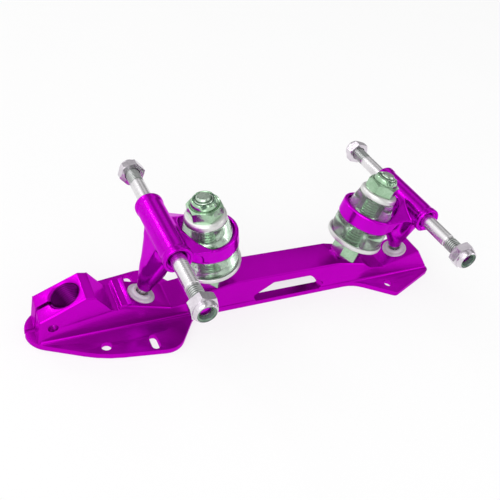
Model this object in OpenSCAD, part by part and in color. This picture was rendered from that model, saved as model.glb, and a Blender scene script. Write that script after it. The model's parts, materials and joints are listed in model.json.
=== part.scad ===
// Quad roller skate plate with two sprung trucks, lying sole down with its trucks up.
// X runs from toe (-X) to heel (+X), Y is across, Z = 0 is the face that bolts to the boot.
// The origin is on that face, midway between the two axles. Millimetres.

/* [Layout] */
// Distance between the two axles
wheelbase = 156; // [150:1:170]
// Height of the axles above the sole face
axle_height = 57; // [55:0.5:60]
// Steering axis of each truck, measured up from the sole face
steer_angle = 46; // [44:0.5:48]
// Distance from the pivot ball to the middle of the hanger ring
steer_span = 50.7; // [49:0.1:52]
// How far each pivot ball lies outboard of its axle
pivot_offset = 9.6; // [8:0.2:11]
// Height of the pivot balls above the sole face
pivot_height = 12.7; // [11.5:0.1:14]
// Lean of each kingpin away from the middle of the plate
kingpin_tilt = 12.5; // [11:0.5:14]

/* [Plate] */
// Distance from mid wheelbase to the toe end
toe_reach = 147.5; // [146:0.5:156]
// Distance from mid wheelbase to the heel end
heel_reach = 111.5; // [111:0.5:120]
// Width of the beam and blocks
beam_w = 20.6; // [20:0.2:24]
// Height of the beam between the trucks
beam_h = 21.3; // [20:0.1:23]
// Thickness of the mounting flanges
flange_t = 3.2; // [2.4:0.1:4]
// How far the thin lip stands out along the beam's foot
lip = 0.45; // [0.3:0.05:0.8]
// Half width of the front flange near its widest point
front_flange_half_w = 32.8; // [30:0.2:35]
// Half width of the rear flange at its corner
rear_flange_half_w = 27.5; // [25:0.2:30]
// Fillet between the blocks and the flanges
foot_fillet = 1.6; // [1:0.1:2.4]
// Bevel along the long top edges
edge_bevel = 0.7; // [0.4:0.05:1]

/* [Window through the beam] */
// Middle of the window, from mid wheelbase
window_x = 3.2; // [0:0.2:6]
// Length of the window between its tips
window_l = 49; // [40:0.5:52]
// Length of the window's upper edge
window_top_l = 25; // [18:0.5:30]
// Height of the window's lower edge above the sole face
window_floor = 3.2; // [2.4:0.1:4]
// Height of the window opening
window_h = 12.3; // [10:0.1:13]
// Height of the tips above the window's lower edge
window_tip_h = 4; // [3:0.1:5]

/* [Pocket under the beam] */
// Width of the pocket, which is open to the sole and meets the window
pocket_w = 9.2; // [8:0.2:10]
// Length of the pocket
pocket_l = 52.4; // [51:0.2:56]
// Thickness of the beam's roof above the pocket
pocket_roof = 4; // [3:0.1:5]

/* [Toe stop clamp] */
// Tilt of the face that carries the toe stop
toe_tilt = 27; // [24:0.5:30]
// Diameter of the toe stop hole, for a five-eighths inch stem
toe_stop_d = 15.9; // [15.7:0.1:16.2]
// Diameter of the chamfered mouth of that hole
toe_mouth_d = 17.5; // [17:0.1:18.2]
// Height of the block's highest edge above the sole face
toe_top = 29.2; // [28:0.1:31]
// Distance of that edge from mid wheelbase
toe_top_x = 118.7; // [118:0.1:121]
// Run of the tilted face along X
toe_face_run = 22.6; // [21:0.1:24]
// Distance of the toe stop hole from that edge, along X
toe_hole_run = 8.9; // [8.5:0.1:9.5]
// Width of the slit that lets the block clamp
slit_w = 2.2; // [1.5:0.1:3]
// Diameter of the pinch screw
pinch_screw_d = 5; // [4:0.5:6]
// Height of the pinch screw above the sole face
pinch_height = 12.4; // [11:0.1:13]
// Distance from the block's front face to the pinch screw
pinch_inset = 6.4; // [6:0.1:7]

/* [Mounting holes] */
// Diameter of the mounting holes
mount_hole_d = 5.5; // [5:0.1:6]
// Distance of the front round holes from mid wheelbase
front_hole_x = 110.6; // [108:0.2:113]
// Spacing of the front round holes across the plate
front_hole_spacing = 41.6; // [38:0.2:44]
// Distance of the front slots from mid wheelbase
slot_x = 86; // [84:0.2:88]
// Spacing of the front slots across the plate
slot_spacing = 49; // [46:0.2:51]
// Length of the front slots from end to end
slot_l = 10; // [8:0.2:11]
// Width of the front slots
slot_w = 4.4; // [4:0.1:5.5]
// Distance of the rear round holes from mid wheelbase
rear_hole_x = 73.8; // [72:0.2:76]
// Spacing of the rear round holes across the plate
rear_hole_spacing = 35.6; // [34:0.2:38]

/* [Pivot] */
// Tilt of each pivot seat, which faces towards the middle of the plate
pivot_tilt = 17.5; // [15:0.5:20]
// Depth of the pivot ball below the pivot seat
ball_depth = 2.9; // [2.5:0.1:3.2]
// Diameter of the steel pivot pins and their ball ends
pivot_pin_d = 5; // [4.5:0.1:6]
// Running gap round the pivot ball
ball_gap = 0.1; // [0.05:0.01:0.2]
// Diameter of the pivot cup's flange
cup_flange_d = 15.4; // [15:0.1:17]
// Thickness of the pivot cup's flange
cup_flange_t = 1.1; // [1:0.1:1.8]
// Diameter of the pivot cup's shank
cup_shank_d = 10.4; // [10:0.1:11]
// Length of the pivot cup's shank below its flange
cup_shank_l = 8; // [7:0.1:9]

/* [Hanger] */
// Width of the hanger between the faces that the wheels run against
hanger_w = 47.6; // [46:0.2:50]
// Diameter of the tube that holds the axle
tube_d = 14.6; // [14:0.2:16]
// Diameter of the collars at the tube's ends
collar_d = 15.6; // [15.2:0.1:18]
// Length over which each collar flares out
collar_l = 4.5; // [4:0.1:6]
// Outer diameter of the ring round the cushions
ring_d = 33.6; // [33:0.2:35]
// Height of the ring
ring_h = 9.4; // [9:0.2:10.5]
// Diameter of the cushion seats in the ring
ring_seat_d = 29.2; // [28:0.2:30]
// Depth of each cushion seat
ring_seat_depth = 3; // [2.4:0.1:3.4]
// Diameter of the hole through the ring's floor
ring_bore_d = 15; // [14:0.2:16]
// Diameter of the arm where the pivot pin leaves it
arm_tip_d = 8; // [7.4:0.1:8.6]
// Diameter of the arm at its root
arm_root_d = 16.4; // [15:0.2:18]
// Length of the tapered arm
arm_l = 15; // [14:0.2:17]
// Distance of the arm's tip above the pivot seat
arm_lift = 4.6; // [4.2:0.1:5.4]

/* [Axles] */
// Diameter of the axles
axle_d = 8; // [7:0.5:8]
// Length over the nuts of each axle
axle_over_nuts = 121; // [118:0.5:124]
// How far each axle end lies inside its nut
axle_recess = 2.9; // [2.8:0.1:4]
// Length of thread at each axle end
axle_thread_l = 14; // [12:0.5:16]
// Size of the axle nuts across flats
axle_nut_af = 13; // [13:0.5:14]
// Height of the axle nuts
axle_nut_h = 8; // [7:0.1:9]
// Diameter of the rolled collar on the axle nuts
axle_nut_collar_d = 12.2; // [11.6:0.1:12.6]

/* [Kingpins and cushions] */
// Diameter of the kingpins
kingpin_d = 10; // [9.5:0.1:10]
// Distance from the kingpin's seat on the plate to the middle of the ring
seat_drop = 31; // [30.5:0.1:31.5]
// Size of the kingpin nuts across flats
kingpin_nut_af = 17; // [16:0.5:18]
// Height of the lock nut on top of each kingpin
lock_nut_h = 9.4; // [9:0.1:11]
// Diameter of the rolled collar on that lock nut
lock_nut_collar_d = 14.4; // [14:0.1:15.5]
// How far the kingpin's tip stands out of its lock nut
kingpin_tip = 1.6; // [1:0.1:3]
// Height of the tall nut between the plate and the lower washer
base_nut_h = 12.4; // [12:0.1:13]
// Outer diameter of the lower cup washer
lower_washer_d = 35; // [34.5:0.1:36]
// Height of the lower cup washer's rim
lower_washer_h = 3; // [2.6:0.1:3.4]
// Largest diameter of the lower cushion
lower_cushion_d = 33; // [32.4:0.1:33.4]
// Outer diameter of the upper cup washer
upper_washer_d = 22.6; // [22:0.1:24]
// Height of the upper cup washer
upper_washer_h = 3.8; // [3.4:0.1:4.2]
// Diameter of the upper cushion at its wide end
upper_cushion_d = 27; // [26.4:0.1:27.6]
// Distance from the ring's middle to the top of the upper cup washer
upper_stack = 17; // [16.6:0.1:17.6]
// Thickness of the sheet that the cup washers are pressed from
washer_t = 1.4; // [1:0.1:1.6]
// Gap between a cushion and what stands round it
cushion_gap = 0.3; // [0.2:0.05:0.5]

/* [Hidden] */
$fn = 64;
eps = 0.01;
// Cutters reach this far past the faces that they open
past = 1;
hull_fn = 32;

// Points of one truck in the XZ plane, for the rear one; the front one is its mirror image
axle_x = wheelbase / 2;
ball_x = axle_x + pivot_offset;
ring_x = ball_x - steer_span * cos(steer_angle);
ring_z = pivot_height + steer_span * sin(steer_angle);
kingpin_x = ring_x - seat_drop * sin(kingpin_tilt);
kingpin_z = ring_z - seat_drop * cos(kingpin_tilt);
seat_x = ball_x - ball_depth * sin(pivot_tilt);
seat_z = pivot_height + ball_depth * cos(pivot_tilt);

// Heights along the kingpin, from the middle of the ring
stack_base = -seat_drop;
lower_washer_z = stack_base + base_nut_h;
upper_washer_z = upper_stack - upper_washer_h;

// Top of the plate's two saddles at a distance from mid wheelbase
function kingpin_facet(x) = kingpin_z - (x - kingpin_x) * tan(kingpin_tilt);
function pivot_facet(x) = seat_z + (x - seat_x) * tan(pivot_tilt);

// Points of a rounded corner b between a and c, where b[2] is its radius
function unit(v) = v / norm(v);
facet_turn = 9;
edge_share = 0.49;
function corner(a, b, c) = b[2] == 0 ? [[b[0], b[1]]] :
    let (p = [b[0], b[1]],
         u = unit([a[0], a[1]] - p),
         v = unit([c[0], c[1]] - p),
         half = acos(max(-1, min(1, u * v))) / 2,
         room = edge_share * min(norm([a[0], a[1]] - p), norm([c[0], c[1]] - p)),
         reach = min(b[2] / tan(half), room),
         r = reach * tan(half),
         mid = p + unit(u + v) * (r / sin(half)),
         start = p + u * reach - mid,
         turn = (180 - 2 * half) * sign(u[0] * v[1] - u[1] * v[0]) * -1,
         steps = max(2, ceil(abs(turn) / facet_turn)))
    [for (i = [0:steps]) let (t = turn * i / steps)
        mid + [start[0] * cos(t) - start[1] * sin(t), start[0] * sin(t) + start[1] * cos(t)]];
function rounded(pts) = [for (i = [0:len(pts) - 1])
    each corner(pts[(i + len(pts) - 1) % len(pts)], pts[i], pts[(i + 1) % len(pts)])];

// Turns a rear part into its front twin
module at_front() { mirror([1, 0, 0]) children(); }
// Extrudes an XZ outline across the plate, centred on Y = 0
module across(w) { translate([0, w / 2, 0]) rotate([90, 0, 0]) linear_extrude(w) children(); }
// Puts a part that is drawn up Z on the rear kingpin, with the ring's middle at Z = 0
module on_kingpin() { translate([ring_x, 0, ring_z]) rotate([0, kingpin_tilt, 0]) children(); }
// Puts a part that is drawn up Z on the rear pivot seat
module on_pivot() { translate([seat_x, 0, seat_z]) rotate([0, -pivot_tilt, 0]) children(); }
// Turns a part that is drawn up Z so that it points to one side
module to_side(side) { rotate([-90 * side, 0, 0]) children(); }

// Half outlines of the two flanges, from the toe or heel line to the beam
foot_w = beam_w / 2 + lip;
front_root_x = 57.9;
front_shoulder_x = 74.3;
front_hip_x = 113.5;
hip_inset = 6.2;
front_hip_w = front_flange_half_w - hip_inset;
nose_w = 8.5;
rear_root_x = 51.5;
rear_corner_x = 74.6;
heel_w = 13.2;
front_half = [[-toe_reach, nose_w, 14], [-front_hip_x, front_hip_w, 60],
    [-front_shoulder_x, front_flange_half_w, 12], [-front_root_x, foot_w, 9]];
rear_half = [[rear_root_x, foot_w, 22], [rear_corner_x, rear_flange_half_w, 4], [heel_reach, heel_w, 4]];
half_outline = concat(front_half, rear_half);
flange_outline = concat(half_outline,
    [for (i = [len(half_outline) - 1:-1:0]) [half_outline[i][0], -half_outline[i][1], half_outline[i][2]]]);

// Side view of the beam and blocks
toe_front_x = toe_top_x + toe_face_run;
toe_front_z = toe_top - toe_face_run * tan(toe_tilt);
toe_hole_x = toe_top_x + toe_hole_run;
toe_hole_z = toe_top - toe_hole_run * tan(toe_tilt);
crest_l = 4.6;
crest_drop = 0.9;
valley_z = 16.8;
valley_slope = 51;
valley_x = toe_top_x - crest_l - (toe_top - crest_drop - valley_z) / tan(valley_slope);
ridge_l = 4.4;
ridge_end_x = 97;
ridge_rise = 1.2;
pad_start_x = 72.4;
pad_end_x = 98.6;
tail_x = 110.2;
tail_z = 5.5;
tail_lean = 0.4;
facet_end_x = 55.5;
dip_x = 61.5;
dip_rise = 1.5;
front_lean = 1.5;
bend_x = kingpin_x - (beam_h - kingpin_z) / tan(kingpin_tilt);
ridge_top = pivot_facet(ridge_end_x) + ridge_rise;
dip_z = pivot_facet(pad_start_x) + dip_rise;
toe_side = [[-toe_front_x - front_lean, 0, 0], [-toe_front_x, toe_front_z, 0.8], [-toe_top_x, toe_top, 0.6],
    [-toe_top_x + crest_l, toe_top - crest_drop, 0.8], [-valley_x, valley_z, 7],
    [-ridge_end_x - ridge_l, valley_z, 0.5], [-ridge_end_x - ridge_l, ridge_top, 1.6],
    [-ridge_end_x, ridge_top, 1.4], [-ridge_end_x, pivot_facet(ridge_end_x), 0.3]];
front_saddle = [[-pad_start_x, pivot_facet(pad_start_x), 4], [-dip_x, dip_z, 6],
    [-facet_end_x, kingpin_facet(facet_end_x), 5], [-bend_x, beam_h, 12]];
rear_saddle = [for (i = [len(front_saddle) - 1:-1:0]) [-front_saddle[i][0], front_saddle[i][1], front_saddle[i][2]]];
heel_side = [[pad_end_x, pivot_facet(pad_end_x), 0.8], [tail_x - tail_lean, tail_z, 1], [tail_x, 0, 0]];
side_outline = concat(toe_side, front_saddle, rear_saddle, heel_side);

// Window outline
window_half = window_l / 2;
window_top_half = window_top_l / 2;
window_foot_inset = 2.2;
window_foot_half = window_half - window_foot_inset;
window_outline = [[window_x - window_foot_half, window_floor, 1.4],
    [window_x - window_half, window_floor + window_tip_h, 1.6],
    [window_x - window_top_half, window_floor + window_h, 2.4],
    [window_x + window_top_half, window_floor + window_h, 2.4],
    [window_x + window_half, window_floor + window_tip_h, 1.6],
    [window_x + window_foot_half, window_floor, 1.4]];

// Milled pocket under the beam, rounded at its corners
pocket_corner = 3;
module sole_pocket() {
    inset = 2 * pocket_corner;
    translate([window_x, 0, -past]) linear_extrude(beam_h - pocket_roof + past) {
        square([pocket_l, pocket_w - inset], center = true);
        square([pocket_l - inset, pocket_w], center = true);
        for (side_x = [-1, 1], side_y = [-1, 1])
            translate([side_x * (pocket_l - inset) / 2, side_y * (pocket_w - inset) / 2])
                circle(r = pocket_corner);
    }
}

// Straight top edges that carry the bevel, each from one side-view point to another
bevel_runs = [[[-toe_front_x, toe_front_z], [-toe_top_x, toe_top]],
    [[-toe_top_x, toe_top], [-toe_top_x + crest_l, toe_top - crest_drop]],
    [[-ridge_end_x, pivot_facet(ridge_end_x)], [-pad_start_x, pivot_facet(pad_start_x)]],
    [[-facet_end_x, kingpin_facet(facet_end_x)], [-bend_x, beam_h]],
    [[-bend_x, beam_h], [bend_x, beam_h]],
    [[bend_x, beam_h], [facet_end_x, kingpin_facet(facet_end_x)]],
    [[pad_start_x, pivot_facet(pad_start_x)], [pad_end_x, pivot_facet(pad_end_x)]],
    [[pad_end_x, pivot_facet(pad_end_x)], [tail_x - tail_lean, tail_z]]];
cutter_bevels = 6;
module bevel_cutter(a, b) {
    reach = cutter_bevels * edge_bevel;
    run = norm(b - a);
    angle = atan2(b[1] - a[1], b[0] - a[0]);
    for (side = [-1, 1])
        translate([a[0], 0, a[1]]) rotate([0, -angle, 0])
            translate([0, side * (beam_w - edge_bevel) / 2, -edge_bevel / 2]) rotate([-45 * side, 0, 0])
                translate([0, -reach / 2, 0]) cube([run, reach, reach]);
}

// Concave fillet along the foot of the body, on both sides
fillet_steps = 6;
module foot_fillets() {
    foot = beam_w / 2 + foot_fillet;
    arc = [for (i = [0:fillet_steps]) let (t = 90 * i / fillet_steps)
        [foot_fillet * (1 - sin(t)), foot_fillet * (1 - cos(t))]];
    run = toe_front_x + tail_x;
    translate([tail_x, 0, 0]) rotate([90, 0, -90]) linear_extrude(run)
        for (flip = [0, 1]) mirror([flip, 0, 0])
            polygon([[0, 0], [foot, 0], for (p = arc) [beam_w / 2 + p[0], flange_t + p[1]],
                [0, flange_t + foot_fillet]]);
}
// Puts a cutter at both ends of a row across the plate
module pair(x, spacing) {
    for (side = [-1, 1]) translate([x, side * spacing / 2, 0]) children();
}
module round_hole(d) { translate([0, 0, -past]) cylinder(d = d, h = flange_t + 2 * past); }
module slot() {
    reach = (slot_l - slot_w) / 2;
    translate([0, 0, -past]) linear_extrude(flange_t + 2 * past) {
        square([slot_w, 2 * reach], center = true);
        for (end = [-1, 1]) translate([0, end * reach]) circle(d = slot_w);
    }
}
// The clamp's hole, slit and screw hole
screw_head_d = 8.5;
screw_head_depth = 3.4;
screw_head_gap = 0.2;
screw_head_sink = 0.4;
screw_socket_af = 4;
screw_socket_floor = 0.6;
screw_inset = 3;
module toe_clamp_cuts() {
    translate([-toe_hole_x, 0, toe_hole_z]) rotate([0, -toe_tilt, 0]) {
        translate([0, 0, -2 * toe_top]) cylinder(d = toe_stop_d, h = 3 * toe_top);
        mouth = (toe_mouth_d - toe_stop_d) / 2;
        translate([0, 0, -mouth]) cylinder(d1 = toe_stop_d, d2 = toe_mouth_d + 2 * past, h = mouth + past);
    }
    translate([-toe_reach - past, -slit_w / 2, -past])
        cube([toe_reach - toe_hole_x + past, slit_w, toe_top + 2 * past]);
    translate([-toe_front_x + pinch_inset, 0, pinch_height]) {
        to_side(1) cylinder(d = pinch_screw_d, h = beam_w + 2 * past, center = true);
        translate([0, beam_w / 2 - screw_head_depth, 0]) to_side(1)
            cylinder(d = screw_head_d + 2 * screw_head_gap, h = screw_head_depth + past);
    }
}
// Bores that hold the kingpin stud and the pivot cup of the rear truck
kingpin_stud_l = 16;
module truck_bores() {
    on_kingpin() translate([0, 0, stack_base - 2 * beam_h]) cylinder(d = kingpin_d, h = 2 * beam_h + past);
    on_pivot() translate([0, 0, -cup_shank_l]) cylinder(d = cup_shank_d, h = cup_shank_l + past);
}
module plate() {
    color([0.72, 0.0, 0.72]) difference() {
        union() {
            linear_extrude(flange_t) polygon(rounded(flange_outline));
            difference() {
                across(beam_w) polygon(rounded(side_outline));
                for (run = bevel_runs) bevel_cutter(run[0], run[1]);
            }
            intersection() {
                foot_fillets();
                linear_extrude(2 * flange_t + foot_fillet) polygon(rounded(flange_outline));
            }
        }
        across(2 * front_flange_half_w) polygon(rounded(window_outline));
        sole_pocket();
        toe_clamp_cuts();
        pair(-front_hole_x, front_hole_spacing) round_hole(mount_hole_d);
        pair(-slot_x, slot_spacing) slot();
        pair(rear_hole_x, rear_hole_spacing) round_hole(mount_hole_d);
        truck_bores();
        at_front() truck_bores();
    }
}

// Cap screw that closes the clamp, its head on the far side
module toe_pinch_screw() {
    color([0.62, 0.72, 0.62])
        translate([-toe_front_x + pinch_inset, 0, pinch_height]) difference() {
            union() {
                translate([0, -beam_w / 2 + screw_inset, 0]) to_side(1)
                    cylinder(d = pinch_screw_d, h = beam_w - screw_inset - screw_head_depth + eps);
                translate([0, beam_w / 2 - screw_head_depth, 0]) to_side(1)
                    cylinder(d = screw_head_d, h = screw_head_depth - screw_head_sink);
            }
            translate([0, beam_w / 2 - screw_head_depth + screw_socket_floor, 0]) to_side(1)
                cylinder(d = screw_socket_af / cos(30), h = screw_head_depth, $fn = 6);
        }
}

// Plastic cup that takes the pivot ball, with a rim round its mouth
cup_floor_t = 1.6;
cup_lip_w = 1.1;
cup_lip_h = 0.9;
cup_flare = 12;
cup_chamfer = 0.5;
cup_edge = 0.7;
cup_crown = 0.2;
cup_lip_slope = 0.9;
module pivot_cup() {
    seat_r = pivot_pin_d / 2 + ball_gap;
    top = cup_flange_t + cup_lip_h;
    mouth_r = seat_r + (top + ball_depth) * tan(cup_flare);
    color([0.80, 0.76, 0.80]) on_pivot() rotate_extrude() difference() {
        polygon([[0, -cup_shank_l], [cup_shank_d / 2 - cup_chamfer, -cup_shank_l],
            [cup_shank_d / 2, -cup_shank_l + cup_chamfer], [cup_shank_d / 2, 0], [cup_flange_d / 2, 0],
            [cup_flange_d / 2, cup_flange_t - cup_edge],
            [cup_flange_d / 2 - cup_chamfer, cup_flange_t - cup_crown],
            [mouth_r + cup_lip_w + cup_lip_slope, cup_flange_t], [mouth_r + cup_lip_w, top], [0, top]]);
        translate([0, -ball_depth]) circle(r = seat_r);
        polygon([[0, -ball_depth], [seat_r, -ball_depth], [mouth_r + past * tan(cup_flare), top + past],
            [0, top + past]]);
        translate([-cup_flange_d, -2 * cup_shank_l]) square([cup_flange_d, 4 * cup_shank_l]);
    }
}

// Hardened pin with a ball end, pressed into the arm
pin_grip = 10;
module pivot_pin() {
    r = pivot_pin_d / 2;
    color([0.72, 0.70, 0.73]) on_pivot() translate([0, 0, -ball_depth]) rotate_extrude() {
        intersection() {
            circle(r = r);
            translate([0, -r]) square([r, r]);
        }
        square([r, ball_depth + arm_lift + pin_grip]);
    }
}

// Cast hanger: axle tube with collars, ring, web and arm in one piece
collar_flare = 1.6;
collar_chamfer = 0.6;
collar_groove = 0.35;
groove_inset = 2.2;
groove_half_w = 0.3;
counterbore_d = 12.6;
counterbore_l = 1.4;
throat_d = 10.2;
throat_l = 3.4;
throat_ease = 0.2;
bore_chamfer = 0.3;
module hanger_tube() {
    end = hanger_w / 2;
    groove = end - groove_inset;
    half = [[tube_d / 2, end - collar_l], [collar_d / 2, end - collar_l + collar_flare],
        [collar_d / 2, groove - groove_half_w], [collar_d / 2 - collar_groove, groove],
        [collar_d / 2, groove + groove_half_w], [collar_d / 2, end - collar_chamfer],
        [collar_d / 2 - collar_chamfer, end], [0, end]];
    mirrored = [for (i = [len(half) - 1:-1:0]) [half[i][0], -half[i][1]]];
    translate([axle_x, 0, axle_height]) rotate([-90, 0, 0]) rotate_extrude() polygon(concat(half, mirrored));
}
module axle_bore() {
    end = hanger_w / 2;
    half = [[axle_d / 2, end - throat_l - 2 * throat_ease], [axle_d / 2 + throat_ease, end - throat_l],
        [throat_d / 2, end - counterbore_l], [counterbore_d / 2 - bore_chamfer, end - counterbore_l],
        [counterbore_d / 2, end], [counterbore_d / 2, end + past], [0, end + past]];
    mirrored = [for (i = [len(half) - 1:-1:0]) [half[i][0], -half[i][1]]];
    translate([axle_x, 0, axle_height]) rotate([-90, 0, 0]) rotate_extrude() polygon(concat(half, mirrored));
}
web_half_l = 16;
// Bars across the hanger, each with its place from the axle along X and Z and its diameter
web_bar = [0.5, -6.2, 8];
brace_bar = [0, -2, 13];
ridge_bar = [-1.5, 1.5, 9];
shelf_bar = [-2.6, -3.4, 4.4];
brace_half_l = 9.6;
brace_share = 0.7;
brace_d = 13.1;
arm_shoulder_l = 5;
arm_shoulder_taper = 4;
disc_h = 1;
// Round bar that the webs are stretched to
module cross_bar(bar, half_l) {
    translate([axle_x + bar[0], 0, axle_height + bar[1]]) to_side(1)
        cylinder(d = bar[2], h = 2 * half_l, center = true, $fn = hull_fn);
}
module arm() {
    on_pivot() translate([0, 0, arm_lift]) {
        cylinder(d1 = arm_tip_d, d2 = arm_root_d, h = arm_l);
        translate([0, 0, arm_l])
            cylinder(d1 = arm_root_d, d2 = arm_root_d - arm_shoulder_taper, h = arm_shoulder_l);
    }
    hull() {
        cross_bar(web_bar, web_half_l);
        on_pivot() translate([0, 0, arm_lift + disc_h / 2]) cylinder(d = arm_tip_d, h = disc_h, $fn = hull_fn);
    }
    hull() {
        cross_bar(brace_bar, brace_half_l);
        on_pivot() translate([0, 0, arm_lift + brace_share * arm_l])
            cylinder(d = brace_d, h = disc_h, $fn = hull_fn);
    }
}
// Web between the tube and the ring, arched over the arm on both sides
shelf_half_l = 18.5;
ridge_half_l = 4;
root_d = 2.2;
root_rise = 2.4;
low_root_spread = 78;
high_root_spread = 42;
arch_r = 7.6;
arch_x = 10;
arch_drop = 11.2;
arch_start = 9;
root_inset = 0.3;
module shelf_root(a, rise) {
    foot = -ring_h / 2 + ring_edge + root_inset;
    on_kingpin() rotate(a) translate([(ring_d - root_d) / 2 - root_inset, 0, foot])
        cylinder(d = root_d, h = ring_h - 2 * ring_edge - root_inset + rise, $fn = 12);
}
module shelf() {
    difference() {
        hull() {
            cross_bar(ridge_bar, ridge_half_l);
            cross_bar(shelf_bar, shelf_half_l);
            for (side = [-1, 1]) {
                shelf_root(side * low_root_spread, 0);
                shelf_root(side * high_root_spread, root_rise);
            }
        }
        for (side = [-1, 1])
            translate([axle_x - arch_x, side * arch_start, axle_height - arch_drop]) to_side(side)
                cylinder(r = arch_r, h = 2 * shelf_half_l);
    }
}
module hanger() {
    color([0.70, 0.0, 0.72]) difference() {
        union() {
            hanger_tube();
            arm();
            shelf();
            on_kingpin() ring_body();
        }
        on_kingpin() ring_cuts();
        axle_bore();
        on_pivot() translate([0, 0, arm_lift - past]) cylinder(d = pivot_pin_d, h = pin_grip + past);
    }
}
ring_edge = 0.8;
module ring_body() {
    rotate_extrude() polygon([[0, -ring_h / 2], [ring_d / 2 - ring_edge, -ring_h / 2],
        [ring_d / 2, -ring_h / 2 + ring_edge], [ring_d / 2, ring_h / 2 - ring_edge],
        [ring_d / 2 - ring_edge, ring_h / 2], [0, ring_h / 2]]);
}
// Seats on both sides of the ring, the bore between them and the space that the cushions need
module ring_cuts() {
    cylinder(d = ring_bore_d, h = 2 * ring_h, center = true);
    translate([0, 0, ring_h / 2 - ring_seat_depth]) cylinder(d = ring_seat_d, h = ring_seat_depth + upper_stack);
    translate([0, 0, -ring_h / 2 - ring_seat_depth]) cylinder(d = ring_seat_d, h = 2 * ring_seat_depth);
}

// Steel rod with a relief where each thread starts
axle_half_l = axle_over_nuts / 2 - axle_recess;
relief_w = 1.2;
relief_depth = 0.35;
axle_chamfer = 0.8;
module axle() {
    thread_start = axle_half_l - axle_thread_l;
    relief_start = thread_start - relief_w;
    r = axle_d / 2;
    half = [[r, relief_start], [r - relief_depth, relief_start + relief_depth],
        [r - relief_depth, thread_start],
        [r, thread_start + relief_depth], [r, axle_half_l - axle_chamfer], [r - axle_chamfer, axle_half_l],
        [0, axle_half_l]];
    mirrored = [for (i = [len(half) - 1:-1:0]) [half[i][0], -half[i][1]]];
    color([0.82, 0.82, 0.84]) translate([axle_x, 0, axle_height]) rotate([-90, 0, 0])
        rotate_extrude() polygon(concat(half, mirrored));
}

// Hexagon with chamfered corners, standing on Z = 0
module hex_body(af, h, top_chamfer, foot_chamfer) {
    corner_r = af / 2 / cos(30);
    rise = tan(30);
    intersection() {
        cylinder(r = corner_r, h = h, $fn = 6);
        rotate_extrude() polygon([[0, 0], [corner_r - foot_chamfer, 0], [corner_r, foot_chamfer * rise],
            [corner_r, h - top_chamfer * rise], [corner_r - top_chamfer, h], [0, h]]);
    }
}
// Nut with a rolled collar on top that holds a plastic insert
hex_share = 0.64;
top_chamfer_share = 0.1;
foot_chamfer_share = 0.05;
collar_overlap = 1;
collar_round = [[0, 2], [0.25, 1.1], [0.6, 0.4], [1.1, 0]];
lead_in = 0.5;
insert_wall = 1.3;
insert_h = 2.2;
insert_depth = 0.6;
opening_gap = 0.8;
opening_depth = 0.7;
module locking_nut(af, d, h, collar_d) {
    hex_h = h * hex_share;
    r = collar_d / 2;
    difference() {
        union() {
            hex_body(af, hex_h, af * top_chamfer_share, af * foot_chamfer_share);
            rotate_extrude() polygon(concat([[0, hex_h - collar_overlap], [r, hex_h - collar_overlap]],
                [for (p = collar_round) [r - p[0], h - p[1]]], [[0, h]]));
        }
        translate([0, 0, -past]) cylinder(d = d, h = h + 2 * past);
        translate([0, 0, -eps]) cylinder(d1 = d + 2 * lead_in, d2 = d - 2 * eps, h = lead_in + 2 * eps);
        translate([0, 0, h - insert_depth - insert_h]) cylinder(r = d / 2 + insert_wall, h = insert_h);
        translate([0, 0, h - opening_depth]) cylinder(r = d / 2 + opening_gap, h = opening_depth + past);
    }
}
module locking_insert(d, bore_d, h) {
    translate([0, 0, h - insert_depth - insert_h]) difference() {
        cylinder(r = d / 2 + insert_wall, h = insert_h);
        translate([0, 0, -past]) cylinder(d = bore_d, h = insert_h + 2 * past);
    }
}
axle_nut_turn = 15;
kingpin_nut_turn = 30;
insert_bite = 0.3;
module on_axle_ends() {
    for (side = [-1, 1])
        translate([axle_x, side * (axle_over_nuts / 2 - axle_nut_h), axle_height]) to_side(side)
            rotate(axle_nut_turn) children();
}
module axle_nuts() {
    color([0.80, 0.77, 0.80]) on_axle_ends()
        locking_nut(axle_nut_af, axle_d, axle_nut_h, axle_nut_collar_d);
}
module axle_nut_inserts() {
    color([0.36, 0.45, 0.40]) on_axle_ends()
        locking_insert(axle_d, axle_d - 2 * insert_bite, axle_nut_h);
}

// Threaded stud from the plate to the top of the truck
kingpin_chamfer = 1;
base_nut_chamfers = [0.6, 0.9];
module kingpin() {
    top = upper_stack + lock_nut_h + kingpin_tip;
    bottom = stack_base - kingpin_stud_l;
    r = kingpin_d / 2;
    color([0.70, 0.78, 0.70]) on_kingpin() rotate_extrude() polygon([[0, bottom], [r - kingpin_chamfer, bottom],
        [r, bottom + kingpin_chamfer], [r, top - kingpin_chamfer], [r - kingpin_chamfer, top], [0, top]]);
}
module kingpin_base_nut() {
    color([0.60, 0.70, 0.60]) on_kingpin() translate([0, 0, stack_base]) rotate(kingpin_nut_turn) difference() {
        hex_body(kingpin_nut_af, base_nut_h, base_nut_chamfers[0], base_nut_chamfers[1]);
        translate([0, 0, -past]) cylinder(d = kingpin_d, h = base_nut_h + 2 * past);
    }
}
module kingpin_lock_nut() {
    color([0.66, 0.76, 0.67]) on_kingpin() translate([0, 0, upper_stack]) rotate(kingpin_nut_turn)
        locking_nut(kingpin_nut_af, kingpin_d, lock_nut_h, lock_nut_collar_d);
}
module lock_nut_insert() {
    color([0.30, 0.42, 0.34]) on_kingpin() translate([0, 0, upper_stack])
        locking_insert(kingpin_d, kingpin_d, lock_nut_h);
}

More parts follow.
